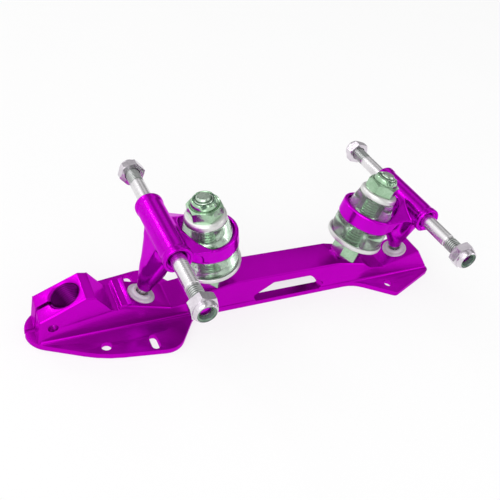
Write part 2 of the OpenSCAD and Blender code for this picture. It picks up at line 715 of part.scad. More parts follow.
// Pressed cup washer whose rim stands up round a cushion, rounded where its floor turns into the rim
lower_washer_bend = 1.2;
upper_washer_bend = 2.2;
bend_steps = 4;
rim_chamfer = 0.4;
rim_ease = 0.2;
floor_corner = 0.5;
module cup_washer(d, h, bend) {
    r = d / 2;
    bore = kingpin_d / 2 + cushion_gap;
    inner = r - washer_t;
    outer = [for (i = [0:bend_steps]) let (t = 90 * i / bend_steps)
        [r - bend * (1 - sin(t)), bend * (1 - cos(t))]];
    rotate_extrude() polygon(concat([[bore, 0]], outer, [[r, h - rim_chamfer], [r - rim_chamfer, h],
        [inner + rim_ease, h], [inner, h - rim_ease], [inner - floor_corner, washer_t], [bore, washer_t]]));
}
module lower_washer() {
    color([0.84, 0.85, 0.83]) on_kingpin() translate([0, 0, lower_washer_z])
        cup_washer(lower_washer_d, lower_washer_h, lower_washer_bend);
}
module upper_washer() {
    color([0.84, 0.85, 0.83]) on_kingpin() translate([0, 0, upper_stack]) mirror([0, 0, 1])
        cup_washer(upper_washer_d, upper_washer_h, upper_washer_bend);
}

// Barrel cushion between the lower washer and the ring
bulge = 0.5;
bulge_steps = 6;
bulge_ease = 0.4;
foot_slope = 0.2;
shoulder_w = 1.1;
shoulder_drop = 0.6;
module lower_cushion() {
    bore = kingpin_d / 2 + cushion_gap;
    foot = lower_washer_z + washer_t;
    shoulder = -ring_h / 2 - cushion_gap;
    neck = -ring_h / 2 + ring_seat_depth;
    neck_r = ring_seat_d / 2 - cushion_gap;
    r = lower_cushion_d / 2;
    foot_r = lower_washer_d / 2 - washer_t - cushion_gap - floor_corner;
    rim = lower_washer_z + lower_washer_h;
    low = rim + bulge_ease;
    high = shoulder - shoulder_drop;
    side = [for (i = [0:bulge_steps]) let (t = i / bulge_steps)
        [r - bulge * pow(2 * t - 1, 2), low + (high - low) * t]];
    color([0.50, 0.58, 0.52]) on_kingpin() rotate_extrude() polygon(concat(
        [[bore, foot], [foot_r, foot], [foot_r + foot_slope, rim]], side,
        [[r - shoulder_w, shoulder], [neck_r, shoulder], [neck_r, neck], [bore, neck]]));
}
// Conical cushion between the ring and the upper washer
cone_chamfer = 0.8;
cone_ease = 0.4;
cone_top_inset = 0.2;
module upper_cushion() {
    bore = kingpin_d / 2 + cushion_gap;
    foot = ring_h / 2 - ring_seat_depth;
    r = upper_cushion_d / 2;
    rim = upper_stack - upper_washer_h;
    top = upper_stack - washer_t;
    neck_r = upper_washer_d / 2 - washer_t - cushion_gap - floor_corner;
    color([0.55, 0.62, 0.57]) on_kingpin() rotate_extrude() polygon([[bore, foot], [r - cone_chamfer, foot],
        [r, foot + cone_chamfer], [r, ring_h / 2 - cone_ease], [r - cone_ease, ring_h / 2 + cone_ease],
        [upper_washer_d / 2 - cone_top_inset, rim - cushion_gap], [neck_r, rim - cushion_gap], [neck_r, top],
        [bore, top]]);
}

plate();
toe_pinch_screw();
at_front() pivot_cup();  // front_pivot_cup
at_front() hanger();  // front_hanger
at_front() pivot_pin();  // front_pivot_pin
at_front() axle();  // front_axle
at_front() axle_nuts();  // front_axle_nuts
at_front() axle_nut_inserts();  // front_axle_nut_inserts
at_front() kingpin();  // front_kingpin
at_front() kingpin_base_nut();  // front_kingpin_base_nut
at_front() lower_washer();  // front_lower_washer
at_front() lower_cushion();  // front_lower_cushion
at_front() upper_cushion();  // front_upper_cushion
at_front() upper_washer();  // front_upper_washer
at_front() kingpin_lock_nut();  // front_kingpin_lock_nut
at_front() lock_nut_insert();  // front_lock_nut_insert
pivot_cup();  // rear_pivot_cup
hanger();  // rear_hanger
pivot_pin();  // rear_pivot_pin
axle();  // rear_axle
axle_nuts();  // rear_axle_nuts
axle_nut_inserts();  // rear_axle_nut_inserts
kingpin();  // rear_kingpin
kingpin_base_nut();  // rear_kingpin_base_nut
lower_washer();  // rear_lower_washer
lower_cushion();  // rear_lower_cushion
upper_cushion();  // rear_upper_cushion
upper_washer();  // rear_upper_washer
kingpin_lock_nut();  // rear_kingpin_lock_nut
lock_nut_insert();  // rear_lock_nut_insert
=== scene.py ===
import json
import math

import bmesh
import bpy
from mathutils import Matrix, Vector
from mathutils.bvhtree import BVHTree
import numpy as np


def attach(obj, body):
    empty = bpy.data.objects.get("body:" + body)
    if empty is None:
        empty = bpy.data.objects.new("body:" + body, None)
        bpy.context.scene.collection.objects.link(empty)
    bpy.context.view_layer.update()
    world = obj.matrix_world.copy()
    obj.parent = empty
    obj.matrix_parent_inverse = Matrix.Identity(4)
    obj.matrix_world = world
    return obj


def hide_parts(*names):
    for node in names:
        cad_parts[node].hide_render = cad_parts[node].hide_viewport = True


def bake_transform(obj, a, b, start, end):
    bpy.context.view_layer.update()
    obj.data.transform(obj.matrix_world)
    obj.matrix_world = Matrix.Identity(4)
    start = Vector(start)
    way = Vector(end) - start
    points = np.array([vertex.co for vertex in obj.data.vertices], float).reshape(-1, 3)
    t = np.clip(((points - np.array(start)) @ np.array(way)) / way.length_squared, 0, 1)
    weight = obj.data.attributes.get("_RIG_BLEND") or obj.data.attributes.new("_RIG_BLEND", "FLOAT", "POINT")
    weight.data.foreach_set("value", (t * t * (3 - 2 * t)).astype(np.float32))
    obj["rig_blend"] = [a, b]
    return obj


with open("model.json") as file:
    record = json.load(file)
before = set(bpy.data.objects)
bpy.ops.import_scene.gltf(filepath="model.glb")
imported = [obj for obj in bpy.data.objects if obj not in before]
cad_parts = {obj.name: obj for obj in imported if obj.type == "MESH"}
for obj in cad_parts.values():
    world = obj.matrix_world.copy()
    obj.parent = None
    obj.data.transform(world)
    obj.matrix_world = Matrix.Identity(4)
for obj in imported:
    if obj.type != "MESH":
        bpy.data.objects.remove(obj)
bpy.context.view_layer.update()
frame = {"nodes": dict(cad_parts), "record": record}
scene = bpy.context.scene
mm = 0.001

# Camera
view = {
    "place": (-173.63, -228.76, 249.95),
    "turn": (51.057, -10.092, -25.097),
    "lens": 44.24,
    "sensor": 36,
    "near": 0.01,
    "far": 20,
}
lensData = bpy.data.cameras.new("camera")
lensData.lens = view["lens"]
lensData.sensor_width = view["sensor"]
lensData.clip_start = view["near"]
lensData.clip_end = view["far"]
camera = bpy.data.objects.new("camera", lensData)
camera.location = [c * mm for c in view["place"]]
camera.rotation_euler = [math.radians(a) for a in view["turn"]]
scene.collection.objects.link(camera)
scene.camera = camera
print("camera is set")


# A shader socket that takes part in sums, with numbers or with other sockets
class Value:
    def __init__(self, shading, socket):
        self.shading = shading
        self.socket = socket

    def sum(self, operation, other, turned=False):
        pair = (other, self) if turned else (self, other)
        return self.shading.node("Math", {"operation": operation}, {0: pair[0], 1: pair[1]})

    def beside(self, output):
        return Value(self.shading, self.socket.node.outputs[output])

    def __add__(self, other):
        return self.sum("ADD", other)

    def __sub__(self, other):
        return self.sum("SUBTRACT", other)

    def __rsub__(self, other):
        return self.sum("SUBTRACT", other, True)

    def __mul__(self, other):
        return self.sum("MULTIPLY", other)

    def __truediv__(self, other):
        return self.sum("DIVIDE", other)

    def __rtruediv__(self, other):
        return self.sum("DIVIDE", other, True)

    __radd__ = __add__
    __rmul__ = __mul__


# A node tree that gets its nodes one call at a time
class Shading:
    def __init__(self, tree):
        self.tree = tree

    def node(self, kind, settings, inputs, output=0):
        made = self.tree.nodes.new("ShaderNode" + kind)
        stops = settings.get("stops")
        for name, value in settings.items():
            if name != "stops":
                setattr(made, name, value)
        if stops:
            ramp = made.color_ramp
            while len(ramp.elements) < len(stops):
                ramp.elements.new(0.5)
            for element, (spot, colour) in zip(ramp.elements, stops):
                element.position = spot
                element.color = (*colour, 1)
        for key, value in inputs.items():
            if isinstance(value, Value):
                self.tree.links.new(value.socket, made.inputs[key])
            else:
                made.inputs[key].default_value = value
        return Value(self, made.outputs[output])

    def step(self, value, low, high, start=0.0, end=1.0):
        return self.node("MapRange", {"interpolation_type": "SMOOTHSTEP"},
                         {"Value": value, "From Min": low, "From Max": high, "To Min": start, "To Max": end})

    def blend(self, amount, first, second):
        def filled(colour):
            return colour if isinstance(colour, Value) else (*colour, 1)
        return self.node("Mix", {"data_type": "RGBA"}, {0: amount, 6: filled(first), 7: filled(second)}, 2)


# A material with one Principled shader
class Finish(Shading):
    def __init__(self, name, **fixed):
        self.material = bpy.data.materials.new(name)
        self.material.use_nodes = True
        super().__init__(self.material.node_tree)
        self.shader = self.tree.nodes["Principled BSDF"]
        for socket, value in fixed.items():
            self.shader.inputs[socket.replace("_", " ")].default_value = value
        self.place = self.node("TexCoord", {}, {}, "Object")

    def noise(self, scale, detail=2.0, rough=0.5, place=None):
        return self.node("TexNoise", {}, {"Vector": place or self.place, "Scale": scale, "Detail": detail,
                                          "Roughness": rough})

    def stretched(self, scale):
        return self.node("Mapping", {}, {"Vector": self.place, "Scale": scale})

    def bump(self, height, strength, distance, under=None):
        inputs = {"Height": height, "Strength": strength, "Distance": distance}
        if under:
            inputs["Normal"] = under
        return self.node("Bump", {}, inputs)

    # Roots and creases, where the piece carries their depth from 0 to 1; the finishes use it to darken the colour
    # there as painted shade
    def depth(self):
        return self.step(self.node("Attribute", {"attribute_name": "depth"}, {}, "Fac"), 0.1, 0.85)

    def feed(self, socket, value):
        self.tree.links.new(value.socket, self.shader.inputs[socket])


# Finishes
def anodised(name, deep, bright, look):
    finish = Finish(name, Metallic=look["metal"], Coat_Weight=look["coat"], Coat_Roughness=look["coatRoughness"],
                    Specular_Tint=(*look["edge"], 1))
    cloud = finish.noise(look["cloudScale"], 3.0)
    grain = finish.noise(look["grainScale"], 4.0, 0.6)
    tone = finish.blend(finish.step(cloud * 0.7 + grain * 0.3, 0.3, 0.7), deep, bright)
    # Roots and creases blend towards the root colour: painted shade
    finish.feed("Base Color", finish.blend(finish.depth(), tone, look["root"]))
    finish.feed("Roughness", finish.step(grain, 0.25, 0.75, look["smooth"], look["dull"]))
    waves = finish.bump(finish.noise(look["waveScale"], 2.0), look["wave"], 0.0006)
    finish.feed("Normal", finish.bump(grain, look["grain"], 0.00012, waves))
    return finish.material


def plated(name, dark, light, look):
    finish = Finish(name, Metallic=1.0)
    cloud = finish.noise(look["cloudScale"], 3.0)
    lines = finish.noise(1.0, 3.0, 0.6, finish.stretched(look["lines"]))
    tone = finish.blend(finish.step(cloud * 0.6 + lines * 0.4, 0.3, 0.7), dark, light)
    # Roots and creases blend towards the root colour: painted shade
    finish.feed("Base Color", finish.blend(finish.depth(), tone, look["root"]))
    finish.feed("Roughness", finish.step(lines, 0.25, 0.75, look["smooth"], look["dull"]) + finish.depth() * 0.2)
    waves = finish.bump(finish.noise(look["waveScale"], 2.0), look["wave"], 0.0005)
    finish.feed("Normal", finish.bump(lines * 0.6 + cloud * 0.4, look["grain"], 0.0001, waves))
    return finish.material


def moulded(name, dark, light, look):
    finish = Finish(name, Subsurface_Weight=look["glow"], Subsurface_Scale=0.002)
    cloud = finish.noise(look["cloudScale"], 3.0)
    grain = finish.noise(look["grainScale"], 3.0, 0.6)
    finish.feed("Base Color", finish.blend(finish.step(cloud, 0.3, 0.7), dark, light))
    finish.feed("Roughness", finish.step(grain, 0.25, 0.75, look["smooth"], look["dull"]))
    finish.feed("Normal", finish.bump(grain, look["grain"], 0.0001))
    return finish.material


def urethane(name, dark, light, look):
    finish = Finish(name, Transmission_Weight=look["clear"], IOR=look["bend"], Specular_IOR_Level=look["shine"])
    cloud = finish.noise(look["cloudScale"], 3.0)
    haze = finish.noise(look["hazeScale"], 3.0)
    finish.feed("Base Color", finish.blend(finish.step(cloud, 0.3, 0.7), dark, light))
    finish.feed("Roughness", finish.step(haze, 0.3, 0.7, look["smooth"], look["dull"]))
    finish.feed("Normal", finish.bump(cloud, look["wave"], 0.0004))
    return finish.material


# Each root colour below is painted shade, laid into roots and creases
finishes = {
    "plate": anodised("magentaPlate", (0.47, 0.0, 0.475), (0.55, 0.0, 0.56),
                      {"metal": 1.0, "coat": 0.02, "coatRoughness": 0.08,
                       "cloudScale": 22, "grainScale": 4000, "waveScale": 60,
                       "smooth": 0.26, "dull": 0.33, "wave": 0.02, "grain": 0.012,
                       "edge": (0.9, 0.25, 0.9), "root": (0.10, 0.0, 0.11)}),
    # A darker copy of the plate's magenta for the inside of the toe stop hole: painted shade
    "thread": anodised("magentaThreadPaintedShade", (0.15, 0.0, 0.16), (0.20, 0.0, 0.22),
                       {"metal": 1.0, "coat": 0.04, "coatRoughness": 0.1,
                        "cloudScale": 60, "grainScale": 2000, "waveScale": 200,
                        "smooth": 0.20, "dull": 0.30, "wave": 0.03, "grain": 0.02,
                        "edge": (0.8, 0.4, 0.8), "root": (0.012, 0.0, 0.014)}),
    "hanger": anodised("magentaHanger", (0.50, 0.0, 0.54), (0.60, 0.0, 0.65),
                       {"metal": 1.0, "coat": 0.06, "coatRoughness": 0.04,
                        "cloudScale": 45, "grainScale": 700, "waveScale": 210,
                        "smooth": 0.15, "dull": 0.25, "wave": 0.08, "grain": 0.02,
                        "edge": (0.95, 0.4, 0.95), "root": (0.10, 0.0, 0.11)}),
    "steel": plated("brightSteel", (0.70, 0.68, 0.70), (0.82, 0.80, 0.82),
                    {"cloudScale": 90, "lines": (300, 2600, 300), "waveScale": 200, "wave": 0.03,
                     "smooth": 0.20, "dull": 0.32, "grain": 0.03, "root": (0.16, 0.19, 0.17)}),
    "nut": plated("lilacNut", (0.62, 0.57, 0.63), (0.76, 0.71, 0.77),
                  {"cloudScale": 160, "lines": (900, 900, 900), "waveScale": 320, "wave": 0.12,
                   "smooth": 0.12, "dull": 0.22, "grain": 0.05, "root": (0.12, 0.10, 0.12)}),
    "kingpin_nut": plated("greenNut", (0.30, 0.48, 0.31), (0.46, 0.66, 0.47),
                          {"cloudScale": 130, "lines": (900, 900, 900), "waveScale": 300, "wave": 0.22,
                           "smooth": 0.12, "dull": 0.22, "grain": 0.07, "root": (0.02, 0.05, 0.022)}),
    "screw": plated("greenStud", (0.42, 0.54, 0.43), (0.60, 0.72, 0.61),
                    {"cloudScale": 200, "lines": (1200, 1200, 1200), "waveScale": 420, "wave": 0.25,
                     "smooth": 0.16, "dull": 0.28, "grain": 0.06, "root": (0.08, 0.14, 0.09)}),
    "washer": plated("whiteWasher", (0.70, 0.70, 0.69), (0.80, 0.80, 0.79),
                     {"cloudScale": 120, "lines": (700, 700, 1500), "waveScale": 120, "wave": 0.04,
                      "smooth": 0.36, "dull": 0.48, "grain": 0.03, "root": (0.3, 0.3, 0.3)}),
    "cushion": urethane("clearUrethane", (0.60, 0.79, 0.62), (0.72, 0.90, 0.74),
                        {"clear": 0.94, "bend": 1.48, "shine": 0.35, "cloudScale": 60, "hazeScale": 220,
                         "smooth": 0.08, "dull": 0.18, "wave": 0.05}),
    "cup": moulded("paleCup", (0.47, 0.42, 0.47), (0.60, 0.55, 0.60),
                   {"glow": 0.10, "cloudScale": 140, "grainScale": 1800,
                    "smooth": 0.28, "dull": 0.42, "grain": 0.04}),
    "insert": moulded("greenRing", (0.07, 0.14, 0.09), (0.16, 0.26, 0.19),
                      {"glow": 0.05, "cloudScale": 260, "grainScale": 2200,
                       "smooth": 0.25, "dull": 0.42, "grain": 0.06}),
}
print("finishes are mixed")

# CAD nodes that keep their shape get their finish
slotOf = {part["node"]: part["material_slot"] for part in frame["record"]["subparts"]}
for name, node in frame["nodes"].items():
    node.data.materials.clear()
    node.data.materials.append(finishes[slotOf[name]])


# Places along the trucks, as in the model
truck = {"ring": (52.381, 49.171), "kingpinTilt": 12.5, "axle": (78.0, 57.0)}
ends = {"front": -1, "rear": 1}


def onKingpin(end):
    side = ends[end]
    return (Matrix.Translation((side * truck["ring"][0] * mm, 0, truck["ring"][1] * mm))
            @ Matrix.Rotation(math.radians(side * truck["kingpinTilt"]), 4, "Y"))


def alongAxle(end):
    side = ends[end]
    return (Matrix.Translation((side * truck["axle"][0] * mm, 0, truck["axle"][1] * mm))
            @ Matrix.Rotation(math.radians(-90), 4, "X"))


# Tools that more than one piece is made with
def everything(bm):
    return bm.verts[:] + bm.edges[:] + bm.faces[:]


def cornersIn(geom):
    return [part for part in geom if isinstance(part, bmesh.types.BMVert)]


def asPiece(bm, name, slotName, smoothAngle=35, finishName=None):
    mesh = bpy.data.meshes.new(name)
    bm.to_mesh(mesh)
    bm.free()
    for face in mesh.polygons:
        face.use_smooth = True
    mesh.set_sharp_from_angle(angle=math.radians(smoothAngle))
    piece = bpy.data.objects.new(name, mesh)
    scene.collection.objects.link(piece)
    mesh.materials.append(finishes[finishName or slotName])
    return piece


def joined(*parts):
    whole = bmesh.new()
    for part in parts:
        mesh = bpy.data.meshes.new("part")
        part.to_mesh(mesh)
        part.free()
        whole.from_mesh(mesh)
        bpy.data.meshes.remove(mesh)
    return whole


# An outline of (radius, height, rounding), turned round Z
def turned(outline, steps=96, closed=False):
    bm = bmesh.new()
    corners = [bm.verts.new((r * mm, 0, z * mm)) for r, z, soft in outline]
    for a, b in zip(corners, corners[1:] + (corners[:1] if closed else [])):
        bm.edges.new((a, b))
    for corner, (r, z, soft) in zip(corners, outline):
        if soft:
            bmesh.ops.bevel(bm, geom=[corner], offset=soft * mm, segments=4, profile=0.5, affect="VERTICES",
                            material=-1)
    bmesh.ops.spin(bm, geom=bm.verts[:] + bm.edges[:], cent=(0, 0, 0), axis=(0, 0, 1), dvec=(0, 0, 0),
                   angle=2 * math.pi, steps=steps, use_merge=True)
    bmesh.ops.remove_doubles(bm, verts=bm.verts, dist=0.002 * mm)
    bmesh.ops.recalc_face_normals(bm, faces=bm.faces)
    return bm


# Writes how deep each corner lies in a root or crease; the finishes paint these corners darker as shade
def marked(bm, depthAt):
    layer = bm.verts.layers.float.get("depth") or bm.verts.layers.float.new("depth")
    for v in bm.verts:
        v[layer] = min(max(depthAt(math.hypot(v.co.x, v.co.y) / mm, v.co.z / mm), 0.0), 1.0)


# Screw threads: shares of one turn where the crest starts and ends and where the root starts,
# and the share of the depth that is off the crests
screwForm = {"crest": 0.40, "crestEnd": 0.58, "root": 0.98, "worn": 0.1, "lead": 1.5, "spare": 3,
             "merge": 0.004, "level": 0.01}


# A thread round Z from one height to another; a negative depth cuts it inside a hole
# One turn is spun, and doubled until it is long enough
def threaded(radius, depth, pitch, low, high, steps, chamfer, capped=True, leastShade=0.0):
    bm = bmesh.new()
    crest = radius - screwForm["worn"] * depth
    rows = [(radius - depth, 0.0), (crest, screwForm["crest"]), (crest, screwForm["crestEnd"]),
            (radius - depth, screwForm["root"]), (radius - depth, 1.0)]
    start = low - pitch * screwForm["lead"]
    corners = [bm.verts.new((r * mm, 0, (start + share * pitch) * mm)) for r, share in rows]
    for a, b in zip(corners, corners[1:]):
        bm.edges.new((a, b))
    bmesh.ops.spin(bm, geom=bm.verts[:] + bm.edges[:], cent=(0, 0, 0), axis=(0, 0, 1),
                   dvec=(0, 0, pitch * mm / steps), angle=2 * math.pi, steps=steps)
    turns = 1
    while turns < math.ceil((high - low) / pitch) + screwForm["spare"]:
        made = bmesh.ops.duplicate(bm, geom=everything(bm))["geom"]
        bmesh.ops.translate(bm, verts=cornersIn(made), vec=(0, 0, turns * pitch * mm))
        turns *= 2
    bmesh.ops.remove_doubles(bm, verts=bm.verts, dist=screwForm["merge"] * mm)
    for height, outward in ((low, -1), (high, 1)):
        bmesh.ops.bisect_plane(bm, geom=everything(bm), dist=0.0001 * mm, clear_outer=True,
                               plane_co=(0, 0, height * mm), plane_no=(0, 0, outward))
        if capped:
            rim = [e for e in bm.edges
                   if e.is_boundary and all(abs(v.co.z - height * mm) < screwForm["level"] * mm for v in e.verts)]
            bmesh.ops.holes_fill(bm, edges=rim, sides=0)

    # Depth in the thread's roots, which the finish paints darker as shade; the lowest depth given darkens the
    # whole thread at least that much, also painted shade
    def depthAt(reach, height):
        if capped and min(abs(height - low), abs(height - high)) < screwForm["level"]:
            return 0
        return max(leastShade, (crest - reach) / ((1 - screwForm["worn"]) * depth))

    marked(bm, depthAt)
    if chamfer:
        for v in bm.verts:
            room = min(v.co.z / mm - low, high - v.co.z / mm)
            most = (radius - chamfer + max(room, 0)) * mm
            reach = math.hypot(v.co.x, v.co.y)
            if reach > most:
                v.co.x *= most / reach
                v.co.y *= most / reach
    bmesh.ops.recalc_face_normals(bm, faces=bm.faces)
    return bm


# Kingpins, threaded from end to end
stud = {"radius": 5.0, "depth": 0.85, "pitch": 1.5, "low": -47.0, "high": 28.0, "steps": 48, "chamfer": 1.9}
cut = threaded(**stud)
for end in ends:
    bm = cut.copy()
    bm.transform(onKingpin(end))
    piece = asPiece(bm, end + "KingpinStud", "screw")
    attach(piece, "plate_body")
    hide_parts(end + "_kingpin")
cut.free()
print("kingpins are threaded")

# Locking nuts on the kingpins, hexagon below and a crimped collar above
lockNut = {"foot": 17.0, "flats": 17.0, "hex": 6.0, "chamfer": 1.7, "underside": 0.85, "edge": 0.18,
           "mouth": 0.6, "steps": 120,
           "collar": [(7.25, 5.6, 0.3), (7.2, 7.0, 0.4), (6.9, 8.4, 0.3), (6.5, 9.1, 0.25), (5.9, 9.4, 0.2),
                      (5.5, 9.0, 0.2), (5.1, 8.2, 0.1)],
           # crease, creaseWidth and creaseOut place a band of painted shade at the foot of the collar
           "crease": 0.2, "creaseWidth": 0.4, "creaseOut": 7.6,
           "crimps": (250, 320, 10, 130), "crimpWidth": 13, "crimpDepth": 1.1, "crimpLow": 6.4,
           "crimpHigh": 8.6, "crimpIn": 5.4, "crimpFloor": 5.35, "crimpSink": 0.5}


def hexNut(size):
    corner = size["flats"] / 2 / math.cos(math.radians(30))
    rise = math.tan(math.radians(30))
    hole = size["collar"][-1][0]
    outline = [(hole + size["mouth"], 0, 0), (corner - size["underside"], 0, 0),
               (corner, size["underside"] * rise, 0), (corner, size["hex"] - size["chamfer"] * rise, 0),
               (corner - size["chamfer"], size["hex"], 0)]
    outline += size["collar"] + [(hole, size["mouth"], 0)]
    bm = turned(outline, size["steps"], True)
    for face in range(6):
        angle = math.radians(60 * face)
        out = Vector((math.cos(angle), math.sin(angle), 0))
        bmesh.ops.bisect_plane(bm, geom=everything(bm), dist=0.0005 * mm, clear_outer=True,
                               plane_co=out * size["flats"] / 2 * mm, plane_no=out)
        bmesh.ops.holes_fill(bm, edges=[e for e in bm.edges if e.is_boundary], sides=0)
    bmesh.ops.recalc_face_normals(bm, faces=bm.faces)
    # The flats are the only faces with many corners, so this finds the edges between them
    rims = [e for e in bm.edges if e.is_manifold and all(len(f.verts) > 8 for f in e.link_faces)]
    bmesh.ops.bevel(bm, geom=rims, offset=size["edge"] * mm, segments=2, profile=0.5, affect="EDGES", material=-1)
    return bm


def crimp(bm, size):
    # A dark band where the collar meets the hexagon: painted shade in the crease
    def creaseShadeAt(reach, height):
        if reach >= size["creaseOut"]:
            return 0
        return math.exp(-((height - size["hex"] - size["crease"]) / size["creaseWidth"]) ** 2)

    marked(bm, creaseShadeAt)
    layer = bm.verts.layers.float["depth"]
    for v in bm.verts:
        reach = math.hypot(v.co.x, v.co.y) / mm
        share = (v.co.z / mm - size["crimpLow"]) / (size["crimpHigh"] - size["crimpLow"])
        if share > 0 and reach > size["crimpIn"]:
            angle = math.degrees(math.atan2(v.co.y, v.co.x))
            depth = 0
            for spot in size["crimps"]:
                gap = (angle - spot + 180) % 360 - 180
                depth = max(depth, math.exp(-(gap / size["crimpWidth"]) ** 2))
            pull = min(size["crimpDepth"] * depth * min(share, 1), reach - size["crimpFloor"])
            # The crimp dents are marked to be painted darker: painted shade
            v[layer] = max(v[layer], depth ** 2 * min(share, 1))
            v.co.x *= 1 - pull / reach
            v.co.y *= 1 - pull / reach
            v.co.z -= size["crimpSink"] * pull * mm


cut = hexNut(lockNut)
crimp(cut, lockNut)
for end in ends:
    bm = cut.copy()
    bm.transform(onKingpin(end) @ Matrix.Translation((0, 0, lockNut["foot"] * mm)))
    piece = asPiece(bm, end + "LockNut", "kingpin_nut", 32)
    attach(piece, "plate_body")
    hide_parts(end + "_kingpin_lock_nut")
cut.free()
print("lock nuts are crimped")

# Axles: ground in the middle, a relief, then thread at both ends
rod = {"radius": 4.0, "neck": 3.65, "neckStart": 42.4, "neckSlope": 0.3, "threadStart": 43.6, "end": 57.6,
       "depth": 0.45, "pitch": 1.25, "chamfer": 0.7, "shade": 0.35, "neckShade": 0.3,
       "cap": 0.12, "capFoot": 0.9, "capTop": 1.1}
half = [(rod["radius"], rod["neckStart"], 0.15), (rod["neck"], rod["neckStart"] + rod["neckSlope"], 0.2),
        (rod["neck"], rod["threadStart"], 0), (0, rod["threadStart"], 0)]
shank = turned([(r, -z, soft) for r, z, soft in reversed(half)] + half, 64)
# The neck and the whole thread are marked to be painted darker: painted shade
marked(shank, lambda reach, height: rod["neckShade"] if abs(height) > rod["neckStart"] + 0.2 else 0)
screw = threaded(rod["radius"], rod["depth"], rod["pitch"], rod["threadStart"] - 0.01, rod["end"], 40,
                 rod["chamfer"], leastShade=rod["shade"])
otherScrew = screw.copy()
otherScrew.transform(Matrix.Rotation(math.pi, 4, "X"))
cut = joined(shank, screw, otherScrew)
for end in ends:
    bm = cut.copy()
    bm.transform(alongAxle(end))
    piece = asPiece(bm, end + "AxleRod", "steel")
    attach(piece, end + "_truck")
    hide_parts(end + "_axle")
    caps = [turned([(0, side * rod["end"], 0), (rod["radius"] - rod["capFoot"], side * rod["end"], 0),
                    (rod["radius"] - rod["capTop"], side * (rod["end"] + rod["cap"]), 0.05),
                    (0, side * (rod["end"] + rod["cap"]), 0)], 48)
            for side in (-1, 1)]
    bm = joined(*caps)
    bm.transform(alongAxle(end))
    piece = asPiece(bm, end + "AxleEnds", "hanger")
    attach(piece, end + "_truck")
cut.free()
print("axles are ground and threaded")

# Cushions of clear urethane, squeezed between the washers and the ring
cushions = {
    "Lower": {"outline": [(5.3, -17.2, 0.2), (15.3, -17.2, 0.5), (15.7, -15.5, 0.3), (16.3, -14.0, 2.0),
                          (16.5, -10.4, 3.0), (16.3, -6.6, 1.0), (15.6, -5.0, 0.5), (14.3, -5.0, 0.2),
                          (14.3, -1.7, 0.4), (5.3, -1.7, 0.2)],
              "start": -15.6, "end": -4.7},
    "Upper": {"outline": [(5.3, 1.7, 0.2), (13.3, 1.7, 0.7), (13.5, 4.2, 0.8), (11.2, 12.9, 0.5),
                          (9.1, 12.95, 0.2), (9.1, 15.6, 0.3), (5.3, 15.6, 0.2)],
              "start": 12.9, "end": 4.7},
}
for end in ends:
    for level, sizes in cushions.items():
        bm = turned(sizes["outline"], 96, True)
        place = onKingpin(end)
        bm.transform(place)
        piece = asPiece(bm, end + level + "Cushion", "cushion")
        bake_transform(piece, "plate_body", end + "_truck", start=place @ Vector((0, 0, sizes["start"] * mm)),
                 end=place @ Vector((0, 0, sizes["end"] * mm)))
        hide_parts(end + "_" + level.lower() + "_cushion")
print("cushions are cast")

# Thread in the toe stop hole, left out where the slit runs; its darker finish is painted shade inside the hole
toeHole = {"place": (-127.6, 0, 24.665), "tilt": -27, "radius": 7.93, "depth": 0.66, "pitch": 1.41,
           "low": -30, "high": -0.9, "slit": 1.15, "foot": 0.5, "outside": 8.3}
bm = threaded(toeHole["radius"] - toeHole["depth"], -toeHole["depth"], toeHole["pitch"], toeHole["low"],
              toeHole["high"], 48, 0, capped=False)
for y in (-toeHole["slit"], toeHole["slit"]):
    bmesh.ops.bisect_plane(bm, geom=everything(bm), dist=0, plane_co=(0, y * mm, 0), plane_no=(0, 1, 0))
middles = {f: f.calc_center_median() for f in bm.faces}
inSlit = [f for f, middle in middles.items() if middle.x < 0 and abs(middle.y) < toeHole["slit"] * mm]
bmesh.ops.delete(bm, geom=inSlit, context="FACES")
place = (Matrix.Translation([c * mm for c in toeHole["place"]])
         @ Matrix.Rotation(math.radians(toeHole["tilt"]), 4, "Y"))
bmesh.ops.bisect_plane(bm, geom=everything(bm), dist=0, clear_outer=True,
                       plane_co=place.inverted() @ Vector((0, 0, toeHole["foot"] * mm)),
                       plane_no=place.to_3x3().inverted() @ Vector((0, 0, -1)))
made = bmesh.ops.extrude_face_region(bm, geom=bm.faces[:], use_keep_orig=True)["geom"]
for v in cornersIn(made):  # its wall goes a little way into the plate
    reach = math.hypot(v.co.x, v.co.y)
    v.co.x *= toeHole["outside"] * mm / reach
    v.co.y *= toeHole["outside"] * mm / reach
bmesh.ops.recalc_face_normals(bm, faces=bm.faces)
bm.transform(place)
piece = asPiece(bm, "toeStopThread", "plate", finishName="thread")
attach(piece, "plate_body")
print("toe stop hole is tapped")

# Low ramp across the plate behind the toe block, cut off at its ends
bar = {"low": -97.6, "high": -95.0, "foot": 18.2, "lowTop": 19.5, "highTop": 20.7, "half": 10.25,
       "undercut": 0.4, "edge": 0.4, "edgeAbove": 19.0}
bm = bmesh.new()
corners = []
for x, z in ((bar["low"], bar["foot"]), (bar["high"], bar["foot"]), (bar["high"], bar["highTop"]),
             (bar["low"], bar["lowTop"])):
    y = -bar["half"] + (bar["undercut"] if z == bar["foot"] else 0)
    corners.append(bm.verts.new((x * mm, y * mm, z * mm)))
nearEnd = bm.faces.new(corners)
for v in cornersIn(bmesh.ops.extrude_face_region(bm, geom=[nearEnd])["geom"]):
    v.co.y = -v.co.y
bmesh.ops.recalc_face_normals(bm, faces=bm.faces)
top = [e for e in bm.edges if all(v.co.z > bar["edgeAbove"] * mm for v in e.verts)]
bmesh.ops.bevel(bm, geom=top, offset=bar["edge"] * mm, segments=3, profile=0.5, affect="EDGES", material=-1)
piece = asPiece(bm, "toeBar", "plate", 30, "hanger")
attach(piece, "plate_body")
print("bar is cut")

